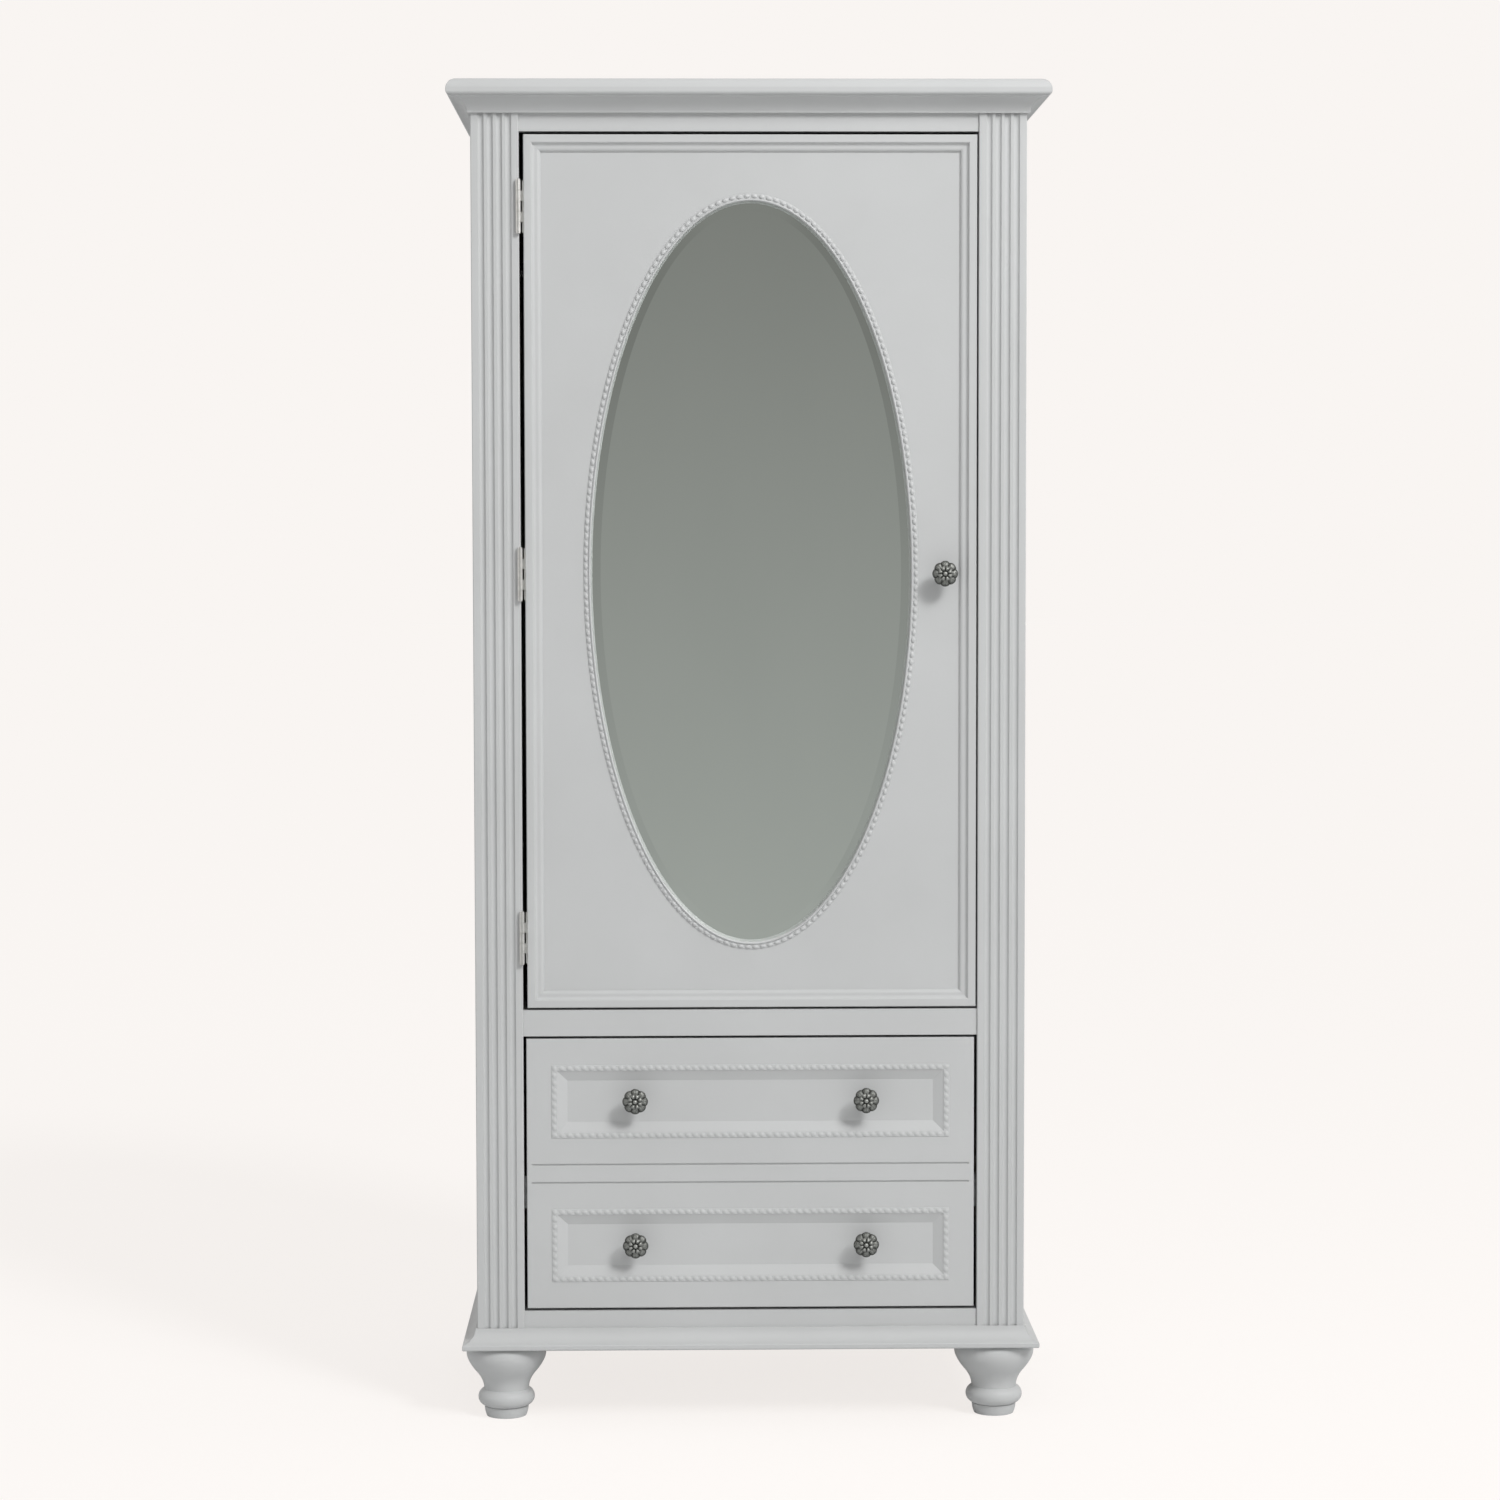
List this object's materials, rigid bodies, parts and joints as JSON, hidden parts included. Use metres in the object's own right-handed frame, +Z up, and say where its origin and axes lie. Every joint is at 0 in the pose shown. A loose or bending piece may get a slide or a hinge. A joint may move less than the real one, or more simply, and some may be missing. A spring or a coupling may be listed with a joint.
{
  "type": "armoire",
  "caption": "Tall painted wardrobe cabinet with an oval bevelled mirror in its hinged door, a deep drawer below, fluted pilasters, crown moulding and turned feet.",
  "frame": {"origin": "on the floor under the middle of the overall box", "axes": "+X right as seen from the front, -Y out of the front, +Z up"},
  "size_m": [0.814, 0.559, 1.829],
  "materials": {
    "painted_wood": "satin off-white paint",
    "painted_inside": "thin off-white paint",
    "bare_wood": "clear sealed poplar",
    "hardboard": "painted hardboard",
    "mirror_glass": "silvered, bevelled edge",
    "antique_pewter": "antiqued dark pewter",
    "satin_nickel": "satin nickel",
    "zinc_steel": "bright zinc plate",
    "chromed_rod": "polished",
    "white_plastic": "matt white"
  },
  "bodies": {
    "carcass": {"top_panel": "painted_wood", "pilaster_left": "painted_wood", "pilaster_right": "painted_wood", "top_rail": "painted_wood", "mid_rail": "painted_wood", "bottom_rail": "painted_wood", "crown_front": "painted_wood", "crown_left": "painted_wood", "crown_right": "painted_wood", "base_moulding_front": "painted_wood", "base_moulding_left": "painted_wood", "base_moulding_right": "painted_wood", "side_panel_left": "painted_wood", "side_panel_right": "painted_wood", "foot_front_left": "painted_wood", "foot_front_right": "painted_wood", "foot_rear_left": "painted_wood", "foot_rear_right": "painted_wood", "fixed_shelf": "painted_inside", "bottom_panel": "painted_inside", "hat_shelf": "painted_inside", "back_panel": "hardboard", "slide_packers": "bare_wood", "foot_blocks": "bare_wood", "hinge_frame_leaves": "satin_nickel", "hinge_pins": "satin_nickel", "slide_left_cabinet": "zinc_steel", "slide_right_cabinet": "zinc_steel", "carcass_screws": "zinc_steel", "foot_bolts": "zinc_steel", "shelf_pins": "zinc_steel", "hanging_rod": "chromed_rod", "rod_sockets": "chromed_rod", "magnetic_catch": "white_plastic"},
    "door": {"door_panel": "painted_wood", "door_moulding_left": "painted_wood", "door_moulding_right": "painted_wood", "door_moulding_top": "painted_wood", "door_moulding_bottom": "painted_wood", "mirror_bead_ring": "painted_wood", "mirror_glass": "mirror_glass", "mirror_backing": "hardboard", "mirror_clips": "zinc_steel", "door_knob": "antique_pewter", "hinge_door_leaves": "satin_nickel", "strike_plate": "zinc_steel", "door_screws": "zinc_steel"},
    "drawer": {"drawer_front": "painted_wood", "drawer_bead_frames": "painted_wood", "drawer_box_front": "bare_wood", "drawer_back": "bare_wood", "drawer_side_left": "bare_wood", "drawer_side_right": "bare_wood", "drawer_bottom": "hardboard", "drawer_knobs": "antique_pewter", "slide_left_drawer": "zinc_steel", "slide_right_drawer": "zinc_steel", "drawer_screws": "zinc_steel"},
    "slide_middle_left": {"slide_left_middle": "zinc_steel"},
    "slide_middle_right": {"slide_right_middle": "zinc_steel"}
  },
  "joints": [
    {"name": "door_swing", "type": "hinge", "parent": "carcass", "child": "door", "pos_m": [-0.3117, -0.2522, 1.164], "axis": [0, 0, -1], "range_deg": [0, 170]},
    {"name": "drawer_slide", "type": "slide", "parent": "carcass", "child": "drawer", "axis": [0, -1, 0], "range_m": [0, 0.4]},
    {"name": "slide_left_travel", "type": "slide", "parent": "carcass", "child": "slide_middle_left", "axis": [0, -1, 0], "range_m": [0, 0.2]},
    {"name": "slide_right_travel", "type": "slide", "parent": "carcass", "child": "slide_middle_right", "axis": [0, -1, 0], "range_m": [0, 0.2]}
  ],
  "couplings": [
    {"joint": "slide_left_travel", "follows": "drawer_slide", "ratio": 0.5},
    {"joint": "slide_right_travel", "follows": "drawer_slide", "ratio": 0.5}
  ]
}
